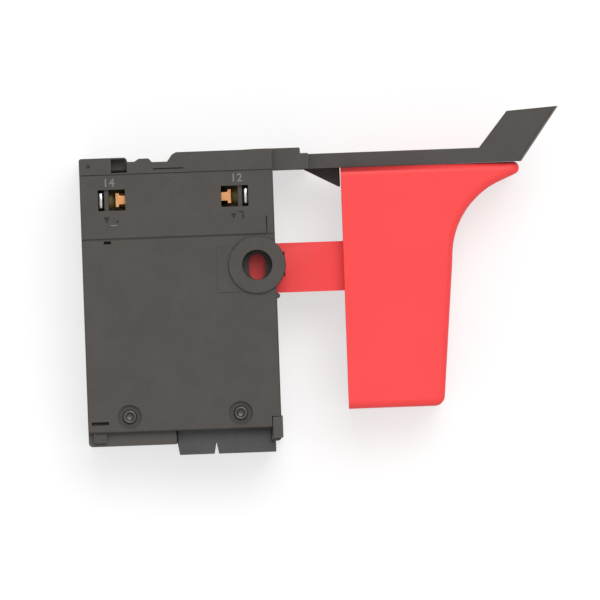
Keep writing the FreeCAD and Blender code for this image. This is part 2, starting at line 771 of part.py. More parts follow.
def window_cuts():
    """Cuts of the upper side: two windows, their wire holes and the slit at the front."""
    cuts = []
    for x, face, outward in ((window_back, back_x, -1), (window_front, front_x, 1)):
        window = block(x - window_wide / 2, x + window_wide / 2, window_y - window_high / 2,
                       window_y + window_high / 2, side_in - past, thickness + past)
        rib_x = x + outward * window_rib_offset
        cuts.append(window.cut(block(rib_x - window_rib / 2, rib_x + window_rib / 2, seam_y, lid_y,
                                     0, thickness - window_rib_sink)))
        z = (strip_z + side_in - terminal_sink) / 2 + 0.2
        cuts.append(rod(entry_r, (face + outward * past, window_y, z),
                        (face - outward * (wall + past), window_y, z)))
    slit = front_x - slit_inset
    cuts.append(block(slit - slit_wide, slit, seam_y - past, seam_y + slit_high,
                      thickness - mark_deep, thickness + past))
    return cuts


def rib_places():
    """Where the ribs stand that carry the copper strips, back pair and front pair."""
    back = window_back + neck_end + 0.4
    front = window_front - neck_end
    return [(back, back + 2.4), (front - 1.0, front)]


def detent_leaf_x():
    return pivot_x - rotor_tail - run_gap - 0.5 - leaf_thick


def terminal(x, inward, reach):
    """Copper clamp seen in a window: wide head, neck and a flat bar that runs inward."""
    top = side_in - terminal_sink
    near = x + inward * head_offset
    far = near + inward * head_thick
    edge = x + inward * neck_end
    parts = []
    for start, end, high, z1 in ((near, far, head_high, top), (far, edge, neck_high, top),
                                 (far, reach, head_high, strip_z + strip_thick)):
        x0, x1 = sorted((start, end))
        parts.append(block(x0, x1, window_y - high / 2, window_y + high / 2, strip_z, z1))
    return parts[0].fuse(parts[1:]).removeSplitter()


def clamp_spring(x, inward):
    """Bright leaf that stands in the window and folds under the copper head."""
    top = side_in - terminal_sink + 0.3
    outer = x - inward * (leaf_offset + leaf_edge / 2)
    inner = x - inward * (leaf_offset - leaf_edge / 2)
    near = x + inward * head_offset
    low = strip_z - leaf_dip
    rise = near + inward * leaf_thick
    outline = [(outer, low), (outer, top), (inner, top), (inner, low + leaf_thick), (near, low + leaf_thick),
               (near, strip_z), (rise, strip_z), (rise, low)]
    return plan(outline, window_y - leaf_wide / 2, window_y + leaf_wide / 2)


def link_strip(low):
    """Copper strip from the lower chamber up beside the rotor."""
    half = link_wide / 2
    high = window_y + blade_high / 2
    return block(pivot_x - half, pivot_x + half, low, high, strip_z, strip_z + strip_thick)


def lower_link_strip():
    """Its mirror, folded on to the circuit board."""
    low = board_high - 1.0
    half = link_wide / 2
    strip = mirrored(link_strip(low))
    fold = block(pivot_x - half, pivot_x + half, low, low + strip_thick, board_top_z, middle - strip_offset)
    return strip.fuse(fold).removeSplitter()


def detent_spring():
    x = detent_leaf_x()
    """Leaf between two posts, with a bump that rides in the rotor's notches."""
    y = rotor_base + 0.8
    reach = strip_offset - 0.05
    leaf = block(x, x + leaf_thick, y, y + tail_thick - 0.4, middle - reach, middle + reach)
    bump = rod(0.7, (x + leaf_thick - 0.2, y, middle), (x + leaf_thick - 0.2, y + tail_thick - 0.4, middle))
    return leaf.fuse(bump).removeSplitter()


def reverse_rotor():
    """Rotor with its pin, the seats of the blades and a tail with three detent notches."""
    base = rotor_base
    pin = rod(rotor_pin_r, (pivot_x, top_in + 0.4, middle), (pivot_x, base + 1, middle))
    drum = rod(rotor_r, (pivot_x, base, middle), (pivot_x, deck_in - run_gap, middle))
    seat_half = rotor_r + seat_rise
    seat_high = blade_high / 2 + 0.4
    seat = block(pivot_x - rotor_r, pivot_x + rotor_r, window_y - seat_high, window_y + seat_high,
                 middle - seat_half, middle + seat_half)
    tail = block(pivot_x - rotor_tail - 1.0, pivot_x, base + 0.6, base + 0.6 + tail_thick,
                 middle - tail_half, middle + tail_half)
    tail = tail.common(rod(rotor_tail, (pivot_x, base, middle), (pivot_x, deck_in, middle)))
    body = pin.fuse([drum, seat, tail])
    for step in (-1, 0, 1):
        angle = math.radians(180 + step * swing)
        x = pivot_x + rotor_tail * math.cos(angle)
        z = middle + rotor_tail * math.sin(angle)
        body = body.cut(rod(0.4, (x, base, z), (x, base + tail_thick + 2, z)))
    half = drive / 2 + pin_gap
    body = body.cut(block(pivot_x - half, pivot_x + half, deck_in - drive_long - run_gap, deck_in + past,
                          middle - half, middle + half))
    return swung(body.removeSplitter(), swing)


def reversing_blade(side):
    """Flat copper blade on one side of the rotor."""
    z = middle + side * (rotor_r + seat_rise)
    z0, z1 = sorted((z, z + side * leaf_thick))
    half = blade_high / 2
    blade = block(pivot_x - blade_reach, pivot_x + blade_reach, window_y - half, window_y + half, z0, z1)
    return swung(blade, swing)


def lever():
    """Lever in one moulding: disc and drive over the body, arm, gusset and raised finger tab."""
    start = roof_end - 1.0
    heel = arm_reach + tab_heel
    low_tip = (arm_reach + tab_low_tip, lever_top + tab_low_rise)
    high_tip = (arm_reach + tab_high_tip, lever_top + tab_high_rise)
    disc = rod(disc_r, (pivot_x, lever_plate_y, middle), (pivot_x, lever_top, middle))
    plate = block(pivot_x, roof_end + past, lever_plate_y, lever_top, middle - arm_half, middle + arm_half)
    taper = [(start, middle - arm_half), (arm_reach, middle - arm_end_half),
             (high_tip[0] + past, middle - arm_end_half), (high_tip[0] + past, middle + arm_end_half),
             (arm_reach, middle + arm_end_half), (start, middle + arm_half)]
    side = [(start, arm_bottom), (heel, arm_bottom), high_tip, low_tip,
            (arm_reach, lever_top), (start, lever_top)]
    arm = prism(side, 0, thickness).common(plan(taper, 0, high_tip[1] + past))
    rim = [e for e in arm.Edges if e.BoundBox.YMax > lever_top + 0.5 and e.BoundBox.ZLength < 0.01]
    arm = arm.makeChamfer(tab_edge, rim)
    # The deep part of the arm starts on a round face, so that it clears the hood's floor
    arm = arm.cut(rod(arc_end_r + run_gap, (pivot_x, 0, middle), (pivot_x, lever_top + past, middle)))
    gusset = prism([(gusset_start, arm_bottom + 0.3), (gusset_start, arm_bottom), (gusset_end, gusset_low),
                    (gusset_end, arm_bottom + 0.3)], middle - gusset_thick / 2, middle + gusset_thick / 2)
    shaft = rod(shaft_r, (pivot_x, deck_in, middle), (pivot_x, lever_plate_y + 0.5, middle))
    half = drive / 2
    key = block(pivot_x - half, pivot_x + half, deck_in - drive_long, deck_in + 0.5,
                middle - half, middle + half)
    body = disc.fuse([plate, arm, gusset, shaft, key]).removeSplitter()
    return swung(body, swing)


def lid_outline():
    """Side outline of the top cover, from the back face round to the front face."""
    base = lid_y
    edge = plateau_edge
    bump_end = edge - low_long
    bump = bump_end - bump_long
    step = bump - 1.0 - notch_long
    return step, [
        (back_x, base), (back_x, base + back_block_rise), (step, base + back_block_rise),
        (step + 0.3, base + notch_rise), (step + notch_long, base + notch_rise), (bump, base + bump_rise),
        (bump_end, base + bump_rise), (bump_end + 0.7, base + low_rise), (edge - 1.2, base + low_rise),
        (edge - 0.2, plateau_y - 0.5), (edge + 0.7, plateau_y), (ramp_x, plateau_y),
        (ramp_x + ramp_long, plateau_y + ramp_rise), (roof_end, plateau_y + ramp_rise), (roof_end, roof_step),
        (cheek_end, roof_step), (cheek_end, hood_under), (front_x, hood_under), (front_x, base)]


def top_cover():
    """Lid with its back block, bump and plateau, which runs on as a hood over the lever."""
    step, outline = lid_outline()
    body = prism(outline, 0, thickness)
    body = body.makeFillet(0.5, upright_edges(body, [(back_x, lid_y + back_block_rise)]))
    for low, high in ((-past, middle - hood_half), (middle + hood_half, thickness + past)):
        body = body.cut(block(front_x, cheek_end + past, hood_under - past, plateau_y + past, low, high))
    # Room for the lever, as wide as its swing, and for the deck and the hood's floor
    gap = seat_gap
    half = hood_half - cheek
    rooms = [
        plan(swing_fan(cheek_end + past), deck_y - past, roof_step),
        rod(disc_r + run_gap, (pivot_x, lid_y - past, middle), (pivot_x, roof_step, middle)),
        block(back_x + skirt - gap, front_x - skirt + gap, lid_y - past, deck_y + 0.02, skirt - gap,
              thickness - skirt + gap),
        block(front_x - wall, cheek_end + past, hood_under - past, deck_y + 0.02,
              middle - half, middle + half)]
    for room in rooms:
        body = body.cut(room)
    # Snap windows on both sides, and the groove and dimple of the upper side
    latch = block(step - latch_wide + 0.3, step + 0.3, lid_y + 0.3, lid_y + back_block_rise - 0.3,
                  thickness - latch_deep, thickness + past)
    mark_z = thickness - mark_deep
    groove_end = plateau_edge + groove_lead
    groove = block(groove_end - groove_long, groove_end, deck_y, deck_y + groove_high,
                   mark_z, thickness + past)
    x = back_x + dimple_inset
    y = lid_y + back_block_rise / 2
    dimple = rod(dimple_r, (x, y, mark_z), (x, y, thickness + past))
    for cut in (latch, mirrored(latch), groove, dimple):
        body = body.cut(cut)
    return body


def swing_fan(end):
    """Plan of the lever's swing from its pivot to the hood's mouth."""
    reach = end - pivot_x
    spread = math.tan(math.radians(swing))
    near = arm_half / math.cos(math.radians(swing)) + run_gap
    far = near + reach * spread
    return [(pivot_x, middle - near), (end, middle - far), (end, middle + far), (pivot_x, middle + near)]


def build():
    nodes = {
        "main_housing": main_housing(),
        "main_cover": main_cover(),
        "cover_rivets": cover_rivets(),
        "wire_inlet_block": wire_inlet_block(),
        "fixed_contact_line": fixed_contact(contact_zs[0], contact_front - contact_thick, inlet_top + 0.2),
        "fixed_contact_motor": fixed_contact(contact_zs[1], contact_back, shelf_top - motor_tail),
        "circuit_board": circuit_board(),
        "heat_sink": heat_sink(),
        "triac": triac(),
        "capacitor": capacitor(),
        "resistors": resistors(),
        "reverse_housing": reverse_housing(),
        "top_cover": top_cover(),
        "detent_spring": detent_spring(),
        "upper_link_strip": link_strip(shelf_top + contact_thick),
        "lower_link_strip": lower_link_strip(),
        "trigger": trigger(),
        "contact_carrier": contact_carrier(),
        "contact_bridge": contact_bridge(),
        "wiper": wiper(),
        "return_spring": return_spring(),
        "lever": lever(),
        "reverse_rotor": reverse_rotor(),
        "upper_reversing_blade": reversing_blade(1),
        "lower_reversing_blade": reversing_blade(-1),
    }
    for name, x in zip(("back", "front"), wire_xs):
        nodes["line_clamp_" + name] = line_clamp(x)
        nodes["line_spring_" + name] = line_spring(x)
    link_edge = link_wide / 2 + 0.4
    for name, x, inward, reach in (("back", window_back, 1, pivot_x - blade_reach + 1.5),
                                   ("front", window_front, -1, pivot_x + link_edge)):
        upper = terminal(x, inward, reach)
        spring = clamp_spring(x, inward)
        nodes["upper_terminal_" + name] = upper
        nodes["lower_terminal_" + name] = mirrored(upper)
        nodes["upper_clamp_spring_" + name] = spring
        nodes["lower_clamp_spring_" + name] = mirrored(spring)
    return nodes


os.makedirs("parts", exist_ok=True)
for node, shape in build().items():
    shape.exportStep("parts/" + node + ".step")
    print(node, len(shape.Solids), round(shape.Volume, 1), shape.isValid())
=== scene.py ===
import math

import bmesh
import bpy
from mathutils import Matrix, Vector


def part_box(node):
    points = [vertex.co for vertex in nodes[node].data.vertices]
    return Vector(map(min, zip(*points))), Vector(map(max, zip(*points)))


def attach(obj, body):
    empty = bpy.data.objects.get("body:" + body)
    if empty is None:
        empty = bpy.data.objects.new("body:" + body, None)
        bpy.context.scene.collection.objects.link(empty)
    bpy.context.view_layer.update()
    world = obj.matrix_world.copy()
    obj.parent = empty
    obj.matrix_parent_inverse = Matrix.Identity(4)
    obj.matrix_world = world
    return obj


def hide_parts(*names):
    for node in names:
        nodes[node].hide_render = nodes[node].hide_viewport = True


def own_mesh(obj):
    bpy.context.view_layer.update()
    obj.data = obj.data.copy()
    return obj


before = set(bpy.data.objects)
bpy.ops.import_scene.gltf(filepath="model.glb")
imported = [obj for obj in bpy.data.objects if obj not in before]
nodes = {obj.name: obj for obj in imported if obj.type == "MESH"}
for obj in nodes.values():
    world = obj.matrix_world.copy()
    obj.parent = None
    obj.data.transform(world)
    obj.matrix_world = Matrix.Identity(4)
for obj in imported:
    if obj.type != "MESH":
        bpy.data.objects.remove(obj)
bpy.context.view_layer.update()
mm = 0.001
print("frame loaded:", len(nodes), "nodes")


# Materials

surface = {"noiseLow": 0.3, "noiseHigh": 0.7, "patchScale": 420.0, "patchLow": 0.35, "patchHigh": 0.6,
           "flowShare": 0.6, "flowBump": 0.14, "flowDeep": 0.00005, "grainDeep": 0.00003,
           "streakDeep": 0.00001}


def newShader(name):
    mat = bpy.data.materials.new(name)
    mat.use_nodes = True
    tree = mat.node_tree
    tree.nodes.clear()
    output = tree.nodes.new("ShaderNodeOutputMaterial")
    shader = tree.nodes.new("ShaderNodeBsdfPrincipled")
    tree.links.new(shader.outputs[0], output.inputs[0])
    coord = tree.nodes.new("ShaderNodeTexCoord").outputs["Object"]
    return mat, tree, shader, coord


def noiseAt(tree, coord, scale, detail=3.0, rough=0.5, stretch=None):
    if stretch:
        mapping = tree.nodes.new("ShaderNodeMapping")
        mapping.inputs["Scale"].default_value = stretch
        tree.links.new(coord, mapping.inputs["Vector"])
        coord = mapping.outputs[0]
    noise = tree.nodes.new("ShaderNodeTexNoise")
    noise.inputs["Scale"].default_value = scale
    noise.inputs["Detail"].default_value = detail
    noise.inputs["Roughness"].default_value = rough
    tree.links.new(coord, noise.inputs["Vector"])
    return noise.outputs[0]


def mapTo(tree, value, low, high, fromLow=surface["noiseLow"], fromHigh=surface["noiseHigh"]):
    node = tree.nodes.new("ShaderNodeMapRange")
    node.inputs["From Min"].default_value = fromLow
    node.inputs["From Max"].default_value = fromHigh
    node.inputs["To Min"].default_value = low
    node.inputs["To Max"].default_value = high
    tree.links.new(value, node.inputs["Value"])
    return node.outputs[0]


def timesMath(tree, first, second, kind="MULTIPLY"):
    node = tree.nodes.new("ShaderNodeMath")
    node.operation = kind
    for socket, value in zip(node.inputs, (first, second)):
        if isinstance(value, float):
            socket.default_value = value
        else:
            tree.links.new(value, socket)
    return node.outputs[0]


def scaledColour(tree, colour, factor):
    node = tree.nodes.new("ShaderNodeVectorMath")
    node.operation = "SCALE"
    node.inputs[0].default_value = colour
    tree.links.new(factor, node.inputs["Scale"])
    return node.outputs[0]


def bumpFrom(tree, shader, height, strength, distance, below=None):
    bump = tree.nodes.new("ShaderNodeBump")
    bump.inputs["Strength"].default_value = strength
    bump.inputs["Distance"].default_value = distance
    tree.links.new(height, bump.inputs["Height"])
    if below:
        tree.links.new(below, bump.inputs["Normal"])
    tree.links.new(bump.outputs[0], shader.inputs["Normal"])
    return bump.outputs[0]


# Moulded plastic: cloudy shade, fine fibre grain, paler edges where the mesh says so, partly wear and partly a
# painted highlight
def mouldedPlastic(name, look):
    mat, tree, shader, coord = newShader(name)
    cloudNoise = noiseAt(tree, coord, look["cloudScale"], 4.0)
    cloud = mapTo(tree, cloudNoise, 1 - look["cloud"], 1 + look["cloud"])
    fibreNoise = noiseAt(tree, coord, look["grainScale"], 2.0, 0.6)
    fibre = mapTo(tree, fibreNoise, 1 - look["fibre"], 1 + look["fibre"])
    shade = timesMath(tree, cloud, fibre)
    edgeWearAndSheen = tree.nodes.new("ShaderNodeAttribute")
    edgeWearAndSheen.attribute_name = "edgeWearAndSheen"
    patches = noiseAt(tree, coord, surface["patchScale"], 3.0)
    patchy = mapTo(tree, patches, 0.0, look["edgeLift"], surface["patchLow"], surface["patchHigh"])
    # The edge mask lifts the colour on bevel faces: partly wear, partly a painted highlight
    lift = timesMath(tree, timesMath(tree, edgeWearAndSheen.outputs["Fac"], patchy), 1.0, "ADD")
    colour = scaledColour(tree, look["colour"], timesMath(tree, shade, lift))
    tree.links.new(colour, shader.inputs["Base Color"])
    low, high = look["roughness"]
    gloss = mapTo(tree, noiseAt(tree, coord, look["cloudScale"] * 3, 3.0), low, high)
    tree.links.new(gloss, shader.inputs["Roughness"])
    shader.inputs["Specular IOR Level"].default_value = look["specular"]
    flow = noiseAt(tree, coord, look["cloudScale"] * surface["flowShare"], 1.0)
    below = bumpFrom(tree, shader, flow, surface["flowBump"], surface["flowDeep"])
    grain = noiseAt(tree, coord, look["grainScale"], 3.0, 0.6)
    bumpFrom(tree, shader, grain, look["bump"], surface["grainDeep"], below)
    return mat


# Metal strip: rolled streaks along one direction, slight tarnish clouds
def rolledMetal(name, look):
    mat, tree, shader, coord = newShader(name)
    shader.inputs["Metallic"].default_value = 1.0
    streak = noiseAt(tree, coord, look["streakScale"], 2.0, 0.6, look["along"])
    cloud = noiseAt(tree, coord, look["cloudScale"], 4.0)
    shade = timesMath(tree, mapTo(tree, streak, 1 - look["streak"], 1 + look["streak"]),
                      mapTo(tree, cloud, 1 - look["cloud"], 1 + look["cloud"]))
    tree.links.new(scaledColour(tree, look["colour"], shade), shader.inputs["Base Color"])
    low, high = look["roughness"]
    tree.links.new(mapTo(tree, cloud, low, high), shader.inputs["Roughness"])
    bumpFrom(tree, shader, streak, look["bump"], surface["streakDeep"])
    return mat


bodyLook = {"colour": (0.0745, 0.0675, 0.0615), "cloud": 0.05, "cloudScale": 130.0, "fibre": 0.10,
            "grainScale": 3400.0, "edgeLift": 0.35, "roughness": (0.52, 0.66), "specular": 0.3, "bump": 0.30}
# The housing is the body's own plastic, painted lighter here as light to make up for the shade of its recess
housingLook = dict(bodyLook, colour=(0.086, 0.078, 0.0725))
leverLook = dict(bodyLook, colour=(0.0765, 0.069, 0.0635), roughness=(0.46, 0.60), bump=0.2, edgeLift=0.5)
# The inlet block's cooler grey is its own; its lift above the body's tone is painted light to make up for the
# shade where it sits low
inletLook = dict(bodyLook, colour=(0.0785, 0.0785, 0.078), roughness=(0.5, 0.62))
blackLook = dict(bodyLook, colour=(0.022, 0.022, 0.023), roughness=(0.42, 0.55), edgeLift=0.25)
triggerLook = {"colour": (0.985, 0.062, 0.064), "cloud": 0.02, "cloudScale": 60.0, "fibre": 0.025,
               "grainScale": 2800.0, "edgeLift": 0.05, "roughness": (0.40, 0.50), "specular": 0.35,
               "bump": 0.16}
boardLook = dict(bodyLook, colour=(0.03, 0.12, 0.05), roughness=(0.3, 0.4), bump=0.1)
filmLook = dict(bodyLook, colour=(0.05, 0.12, 0.40), roughness=(0.15, 0.25), bump=0.05)
ceramicLook = dict(bodyLook, colour=(0.50, 0.36, 0.20), roughness=(0.3, 0.4))
inkLook = dict(bodyLook, colour=(0.20, 0.195, 0.185), fibre=0.04, bump=0.1)
bandLook = dict(bodyLook, colour=(0.24, 0.04, 0.02), roughness=(0.25, 0.35), bump=0.05)
copperLook = {"colour": (0.78, 0.38, 0.16), "streak": 0.06, "streakScale": 900.0, "along": (1, 6, 6),
              "cloud": 0.08, "cloudScale": 500.0, "roughness": (0.24, 0.36), "bump": 0.25}
# Darker copper painted on the terminals' deep faces as shade
paintedShadeCopperLook = dict(copperLook, colour=(0.30, 0.16, 0.075), cloud=0.2, roughness=(0.4, 0.55))
springLook = dict(copperLook, colour=(0.80, 0.80, 0.78), cloud=0.04, roughness=(0.18, 0.30))
# Darker steel painted on the clamp springs' low faces as shade
shadedSpringLook = dict(copperLook, colour=(0.21, 0.17, 0.075), roughness=(0.38, 0.5), cloud=0.2)
rivetLook = dict(copperLook, colour=(0.105, 0.10, 0.094), roughness=(0.34, 0.48), cloud=0.15)
sinkLook = dict(copperLook, colour=(0.74, 0.75, 0.76), roughness=(0.28, 0.4))

finish = {
    "body": mouldedPlastic("bodyPlastic", bodyLook),
    "housing": mouldedPlastic("housingPlastic", housingLook),
    "lever": mouldedPlastic("leverPlastic", leverLook),
    "inlet": mouldedPlastic("inletPlastic", inletLook),
    "black": mouldedPlastic("blackPlastic", blackLook),
    "trigger": mouldedPlastic("triggerPlastic", triggerLook),
    "copper": rolledMetal("copperStrip", copperLook),
    "tarnished": rolledMetal("paintedShadeCopperStrip", paintedShadeCopperLook),
    "spring": rolledMetal("springLeaf", springLook),
    "shadedSpring": rolledMetal("shadedSpringSteel", shadedSpringLook),
    "rivet": rolledMetal("rivetSteel", rivetLook),
    "sink": rolledMetal("heatSinkMetal", sinkLook),
    "board": mouldedPlastic("boardLacquer", boardLook),
    "film": mouldedPlastic("capacitorLacquer", filmLook),
    "ceramic": mouldedPlastic("resistorLacquer", ceramicLook),
    "ink": mouldedPlastic("paleInk", inkLook),
    "band": mouldedPlastic("bandLacquer", bandLook),
}
print("materials made:", len(finish))


# Dressed copies of the CAD nodes: flats cleaned up, outer edges rounded by what each place allows

rounding = {"merge": 1e-6, "flatWithin": 0.12, "sharpOver": 50, "shadeOver": 38, "square": 0.5,
            "straight": 0.85, "share": 0.4, "probes": 8, "beside": 0.4, "segments": 2}


# Three edges that meet squarely, or a sharp edge that runs nearly straight on past a third
def plainCorner(vert, sharp):
    ways = [(edge.other_vert(vert).co - vert.co).normalized() for edge in vert.link_edges]
    if len(ways) != 3:
        return False
    for i in range(3):
        turn = abs(ways[i].dot(ways[i - 1]))
        both = vert.link_edges[i] in sharp and vert.link_edges[i - 1] in sharp
        if not (turn < rounding["square"] or (turn > rounding["straight"] and both)):
            return False
    return True


# The widest rounding that an edge's neighbours leave room for
def edgeRoom(edge, sharp):
    if not all(plainCorner(v, sharp) for v in edge.verts):
        return 0.0
    start, end = (v.co for v in edge.verts)
    along = (end - start).normalized()
    length = edge.calc_length()
    beside = rounding["beside"] * mm
    room = length
    for vert in edge.verts:
        for other in vert.link_edges:
            way = (other.other_vert(vert).co - vert.co).normalized()
            if abs(way.dot(along)) < rounding["straight"]:
                room = min(room, other.calc_length() * rounding["share"])
    for face in edge.link_faces:
        across = face.normal.cross(along)
        for other in face.edges:
            if other is edge or set(other.verts) & set(edge.verts):
                continue
            for step in range(rounding["probes"] + 1):
                point = other.verts[0].co.lerp(other.verts[1].co, step / rounding["probes"]) - start
                if -beside < point.dot(along) < length + beside:
                    room = min(room, abs(point.dot(across)) * rounding["share"])
    return room


# An edge that runs on into one left crisp stays crisp as well
def evenRuns(room):
    waiting = [edge for edge in room if room[edge] <= 0]
    while waiting:
        edge = waiting.pop()
        for vert in edge.verts:
            way = (edge.other_vert(vert).co - vert.co).normalized()
            for other in vert.link_edges:
                onward = (other.other_vert(vert).co - vert.co).normalized()
                if room.get(other, 0) > 0 and onward.dot(way) < -rounding["straight"]:
                    room[other] = 0
                    waiting.append(other)


def cleanMesh(node, name):
    mesh = nodes[node].data.copy()
    mesh.name = name
    bm = bmesh.new()
    bm.from_mesh(mesh)
    bmesh.ops.remove_doubles(bm, verts=bm.verts, dist=rounding["merge"])
    flat = math.radians(rounding["flatWithin"])
    bmesh.ops.dissolve_limit(bm, angle_limit=flat, verts=bm.verts, edges=bm.edges)
    return mesh, bm


def bakedCopy(obj):
    depsgraph = bpy.context.evaluated_depsgraph_get()
    mesh = bpy.data.meshes.new_from_object(obj.evaluated_get(depsgraph), preserve_all_data_layers=True,
                                           depsgraph=depsgraph)
    mesh.name = obj.name
    obj.modifiers.clear()
    obj.data = mesh
    return obj


def linked(name, data):
    piece = bpy.data.objects.new(name, data)
    bpy.context.scene.collection.objects.link(piece)
    return piece


def handedOver(piece, body, slot, *replaced):
    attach(piece, body)
    if replaced:
        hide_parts(*replaced)
    return piece


def smoothed(mesh):
    mesh.polygons.foreach_set("use_smooth", [True] * len(mesh.polygons))
    mesh.set_sharp_from_angle(angle=math.radians(rounding["shadeOver"]))


def dressed(node, name, body, look, slot, width, crispTo=None, reshape=None, deepLook=None):
    mesh, bm = cleanMesh(node, name)
    if reshape:
        reshape(bm)
    weights = bm.edges.layers.float.new("bevel_weight_edge")
    least = math.radians(rounding["sharpOver"])
    sharp = {e for e in bm.edges if e.is_manifold and e.is_convex and e.calc_face_angle(0) > least}
    room = {edge: edgeRoom(edge, sharp) for edge in sharp}
    if crispTo is None:
        evenRuns(room)
    for edge in sharp:
        if crispTo is not None and min(v.co.x for v in edge.verts) < crispTo * mm:
            continue
        edge[weights] = max(0.0, min(1.0, room[edge] / (width * mm)))
    bm.to_mesh(mesh)
    bm.free()
    # The second slot only tells the bevel's faces from the rest
    mesh.materials.clear()
    mesh.materials.append(finish[look])
    mesh.materials.append(finish[look])
    mesh.polygons.foreach_set("material_index", [0] * len(mesh.polygons))
    piece = linked(name, mesh)
    bevel = piece.modifiers.new("edges", "BEVEL")
    bevel.limit_method = "WEIGHT"
    bevel.width = width * mm
    bevel.segments = rounding["segments"]
    bevel.material = 1
    bevel.use_clamp_overlap = False
    bakedCopy(piece)
    mesh = piece.data
    # Bevel faces are marked for the paler edge colour, partly wear and partly a painted highlight
    edgeWearAndSheen = mesh.attributes.new("edgeWearAndSheen", "FLOAT", "FACE")
    flags = [0] * len(mesh.polygons)
    mesh.polygons.foreach_get("material_index", flags)
    edgeWearAndSheen.data.foreach_set("value", [float(f) for f in flags])
    mesh.polygons.foreach_set("material_index", [0] * len(mesh.polygons))
    mesh.materials.pop()
    # Faces near the middle depth, deep in the window, take the darker copper as painted shade
    if deepLook:
        mesh.materials.append(finish[deepLook])
        for face in mesh.polygons:
            face.material_index = int(abs(face.center.z / mm - fit["pivotZ"]) < fit["deepWithin"])
    smoothed(mesh)
    shade = piece.modifiers.new("flats", "WEIGHTED_NORMAL")
    shade.keep_sharp = True
    bakedCopy(piece)
    return handedOver(piece, body, slot, node)


# Trigger and lever come within a hair of each other, as the real ones do
fit = {"triggerTop": 19.55, "raise": 0.19, "over": 2.0, "gussetEnd": 27.9, "gussetOut": 0.2,
       "gussetUnder": 19.85, "near": 0.03, "pivotX": -10.0, "pivotZ": 11.0, "rest": 6.5, "deepWithin": 6.4,
       "armFrom": 10.6}


def raiseTriggerTop(bm):
    start = fit["triggerTop"] - fit["over"]
    for vert in bm.verts:
        share = (vert.co.y / mm - start) / fit["over"]
        if share > 0:
            vert.co.y += share * fit["raise"] * mm


def reachGusset(bm):
    turn = math.radians(fit["rest"])
    way = Vector((math.cos(turn), 0, math.sin(turn)))
    pivot = Vector((fit["pivotX"], 0, fit["pivotZ"])) * mm
    for vert in bm.verts:
        along = (vert.co - pivot).dot(way) / mm
        if abs(along - fit["gussetEnd"]) < fit["near"] and vert.co.y / mm < fit["gussetUnder"]:
            vert.co += way * fit["gussetOut"] * mm


# Node: new name, body, finish, slot, rounding, then where an arm's rounding starts, reshape, deep finish
dressing = {
    "main_housing": ("mainHousing", "body", "housing", "body_plastic", 0.25),
    "main_cover": ("mainCover", "body", "body", "body_plastic", 0.22),
    "reverse_housing": ("reverseHousing", "body", "body", "body_plastic", 0.22),
    "top_cover": ("topCover", "body", "body", "body_plastic", 0.28),
    "wire_inlet_block": ("wireInletBlock", "body", "inlet", "inlet_plastic", 0.30),
    "lever": ("leverArm", "lever", "lever", "lever_plastic", 0.28, fit["armFrom"], reachGusset),
    "trigger": ("fingerTrigger", "trigger", "trigger", "trigger_plastic", 0.40, None, raiseTriggerTop),
    "contact_carrier": ("contactCarrier", "trigger", "black", "black_plastic", 0.25),
    "reverse_rotor": ("reverseRotor", "lever", "black", "black_plastic", 0.20),
    "triac": ("triacPackage", "body", "black", "black_plastic", 0.12),
    "heat_sink": ("heatSink", "body", "sink", "heat_sink_metal", 0.20),
    "capacitor": ("filmCapacitor", "body", "film", "film_blue", 0.35),
    "circuit_board": ("circuitBoard", "body", "board", "board", 0.08),
    "contact_bridge": ("contactBridge", "trigger", "copper", "copper", 0.12),
    "wiper": ("trackWiper", "trigger", "spring", "spring_steel", 0.08),
    "detent_spring": ("detentLeaf", "body", "spring", "spring_steel", 0.10),
    "upper_reversing_blade": ("upperBlade", "lever", "copper", "copper", 0.12),
    "lower_reversing_blade": ("lowerBlade", "lever", "copper", "copper", 0.12),
}
for side in ("upper", "lower"):
    dressing[side + "_link_strip"] = (side + "LinkStrip", "body", "copper", "copper", 0.12)
    for end in ("back", "front"):
        name = side + "Terminal" + end.title()
        dressing[side + "_terminal_" + end] = (name, "body", "copper", "copper", 0.16, None, None, "tarnished")
for end in ("back", "front"):
    dressing["line_clamp_" + end] = ("lineClamp" + end.title(), "body", "copper", "copper", 0.14)
    dressing["line_spring_" + end] = ("lineLeaf" + end.title(), "body", "spring", "spring_steel", 0.08)
for end in ("line", "motor"):
    dressing["fixed_contact_" + end] = ("fixedContact" + end.title(), "body", "copper", "copper", 0.12)
for node, plan in dressing.items():
    dressed(node, *plan)
print("dressed", len(dressing), "nodes")


# Clamp springs: a base plate with a bright leaf that stands up in the window and curls over; faces low in the
# window take a darker steel as painted shade

clampSpring = {"baseHalfLong": 2.85, "baseHalfWide": 2.3, "baseThick": 0.34, "baseTop": -0.06, "footIn": 0.6,
               "footTop": 0.3, "footPast": 0.6, "leafAt": -1.88, "leafLow": 1.3, "sheet": 0.3,
               "leafHalf": 1.6, "top": 3.8, "curl": 0.22, "hem": 0.6, "bend": 0.35, "brightOver": 1.2,
               "rounded": 0.05, "backX": -30.0, "frontX": -4.2, "windowY": 14.6, "stripZ": 16.0,
               "middle": 11.0}


def bentStrip(bm, line, sheet, half, place, cover):
    rings = []
    for index, (u, z) in enumerate(line):
        before = Vector(line[max(index - 1, 0)])
        after = Vector(line[min(index + 1, len(line) - 1)])
        way = (after - before).normalized()
        side = Vector((-way.y, way.x)) * sheet / 2
        corners = ((-1, -1), (-1, 1), (1, 1), (1, -1))
        ring = [place(u + s * side.x, w * half, z + s * side.y) for s, w in corners]
        rings.append([bm.verts.new(point) for point in ring])
    for low, high in zip(rings, rings[1:]):
        for i in range(4):
            face = bm.faces.new((low[i], low[(i + 1) % 4], high[(i + 1) % 4], high[i]))
            face.material_index = cover(face)
    for ring in (rings[0], rings[-1]):
        face = bm.faces.new(ring)
        face.material_index = cover(face)


